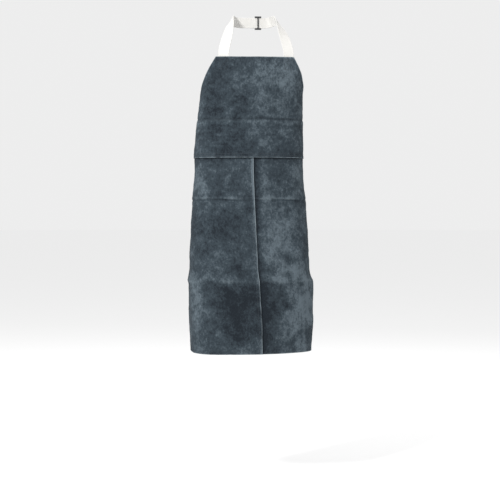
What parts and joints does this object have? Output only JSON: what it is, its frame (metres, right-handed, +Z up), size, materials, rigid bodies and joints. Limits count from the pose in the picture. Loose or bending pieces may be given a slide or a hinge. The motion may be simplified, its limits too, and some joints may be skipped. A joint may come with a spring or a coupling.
{
  "type": "welding apron",
  "caption": "Split-leather welding apron shaped as worn: bib lapped over a skirt with a centre seam, webbing neck loop, and a webbing waist belt with a side-release buckle behind.",
  "frame": {"origin": "inner face of the neck loop, at the middle of the back of the neck", "axes": "+X to the viewer's right, -Y out of the apron's front, +Z up along the wearer"},
  "size_m": [0.3935, 0.2112, 1.0406],
  "materials": {
    "leather": "rough blue-grey split suede, mottled",
    "webbing": "off-white woven webbing",
    "plastic": "black moulded plastic, fine texture",
    "thread": "dark heat-resistant sewing thread"
  },
  "bodies": {
    "neck_loop": {"neck_strap": "webbing"},
    "apron": {"bib_panel": "leather", "skirt_panel_left": "leather", "skirt_panel_right": "leather", "waist_seam_stitching": "thread", "centre_seam_stitching": "thread", "strap_tail_left": "webbing", "strap_tail_right": "webbing", "tail_stitching_left": "thread", "tail_stitching_right": "thread", "belt_left": "webbing", "belt_right": "webbing", "belt_stitching_left": "thread", "belt_stitching_right": "thread", "belt_end_stitching": "thread", "buckle_socket": "plastic", "buckle_plug": "plastic"},
    "slider": {"neck_slider": "plastic"},
    "prong_top": {"prong_upper": "plastic"},
    "prong_bottom": {"prong_lower": "plastic"},
    "keeper": {"belt_keeper": "plastic"}
  },
  "joints": [
    {"name": "apron_swing", "type": "hinge", "parent": "neck_loop", "child": "apron", "pos_m": [0, -0.13615, -0.1125], "axis": [-1, 0, 0], "range_deg": [-10, 90], "stiffness_Nm_per_rad": 12},
    {"name": "neck_slide", "type": "slide", "parent": "neck_loop", "child": "slider", "axis": [1, 0, 0], "range_m": [-0.008, 0.01]},
    {"name": "prong_squeeze", "type": "hinge", "parent": "apron", "child": "prong_top", "pos_m": [-0.0115, 0.03155, -0.4335], "axis": [0, -1, 0], "range_deg": [0, 7], "stiffness_Nm_per_rad": 0.05},
    {"name": "prong_squeeze_bottom", "type": "hinge", "parent": "apron", "child": "prong_bottom", "pos_m": [-0.0115, 0.03155, -0.4545], "axis": [0, 1, 0], "range_deg": [0, 7], "stiffness_Nm_per_rad": 0.05},
    {"name": "keeper_slide", "type": "slide", "parent": "apron", "child": "keeper", "axis": [1, 0, 0], "range_m": [-0.012, 0.016]}
  ],
  "couplings": [
    {"joint": "prong_squeeze_bottom", "follows": "prong_squeeze", "ratio": 1}
  ]
}
